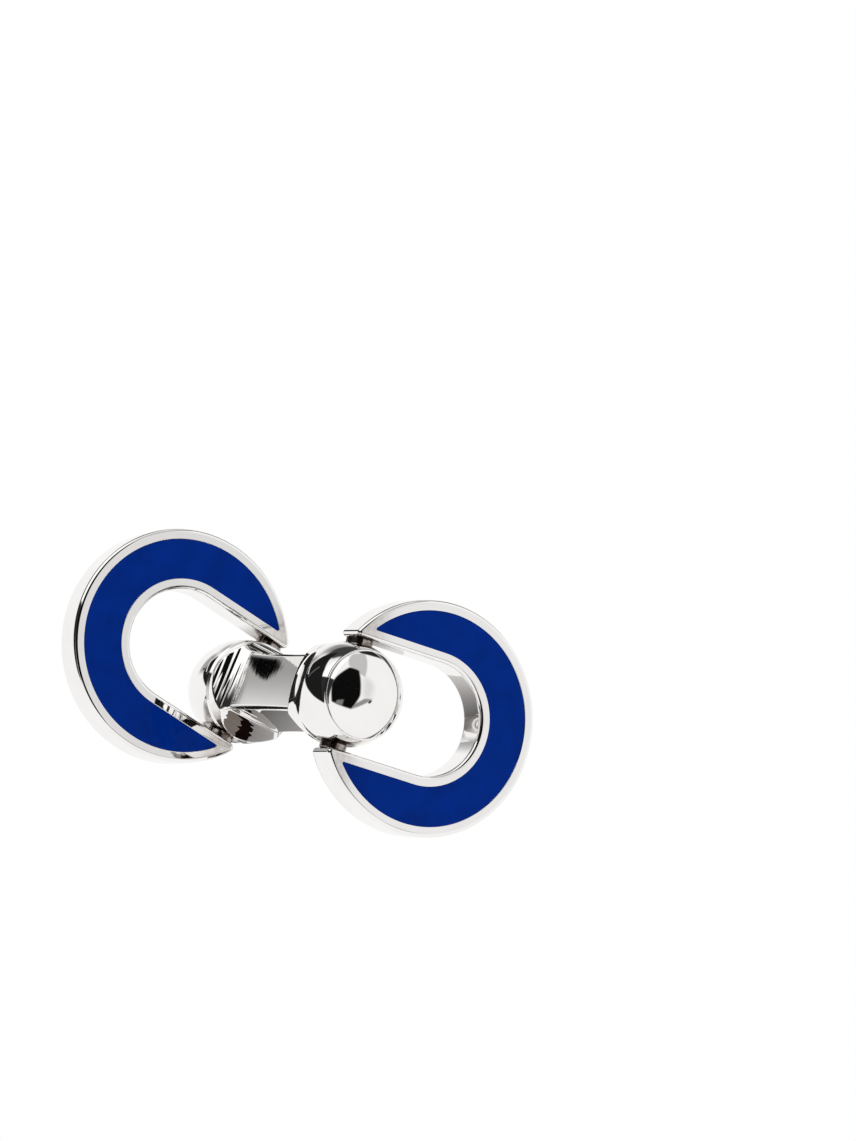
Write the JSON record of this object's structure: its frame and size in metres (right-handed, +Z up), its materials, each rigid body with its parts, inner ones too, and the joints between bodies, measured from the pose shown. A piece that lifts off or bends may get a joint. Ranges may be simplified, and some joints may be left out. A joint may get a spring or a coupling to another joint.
{
  "type": "cufflink",
  "caption": "Double-ended cufflink: a square bar with a turning knuckle at each end, and on each knuckle an open enamelled ring that swings in line to pass a buttonhole and out to hold a cuff.",
  "frame": {"origin": "middle of the link bar, on its axis", "axes": "+X along the bar to the right end, +Y to the side where the right ring lies, +Z up, near the pivot pins"},
  "size_m": [0.0218, 0.0288, 0.0166],
  "materials": {
    "polished_silver": "mirror polished",
    "blue_enamel": "high gloss",
    "pin_steel": "ground",
    "brake_plastic": "satin"
  },
  "bodies": {
    "link": {"link_bar": "polished_silver", "left_snap_ring": "pin_steel", "right_snap_ring": "pin_steel"},
    "left_knuckle": {"left_ball": "polished_silver", "left_end_cap": "polished_silver", "left_brake_pad": "brake_plastic", "left_disc_spring": "pin_steel"},
    "left_ring": {"left_ring": "polished_silver", "left_enamel": "blue_enamel", "left_pivot_pin": "pin_steel", "left_upper_spacer": "polished_silver", "left_lower_spacer": "polished_silver"},
    "right_knuckle": {"right_ball": "polished_silver", "right_end_cap": "polished_silver", "right_brake_pad": "brake_plastic", "right_disc_spring": "pin_steel"},
    "right_ring": {"right_ring": "polished_silver", "right_enamel": "blue_enamel", "right_pivot_pin": "pin_steel", "right_upper_spacer": "polished_silver", "right_lower_spacer": "polished_silver"}
  },
  "joints": [
    {"name": "left_knuckle_turn", "type": "hinge", "parent": "link", "child": "left_knuckle", "pos_m": [-0.007, 0, 0], "axis": [-1, 0, 0], "continuous": true},
    {"name": "left_ring_swing", "type": "hinge", "parent": "left_knuckle", "child": "left_ring", "pos_m": [-0.007, 0, 0], "axis": [0, -0.1357, -0.9907], "range_deg": [-30, 194]},
    {"name": "right_knuckle_turn", "type": "hinge", "parent": "link", "child": "right_knuckle", "pos_m": [0.007, 0, 0], "axis": [1, 0, 0], "continuous": true},
    {"name": "right_ring_swing", "type": "hinge", "parent": "right_knuckle", "child": "right_ring", "pos_m": [0.007, 0, 0], "axis": [0, -0.1357, 0.9907], "range_deg": [-198, 26]}
  ]
}
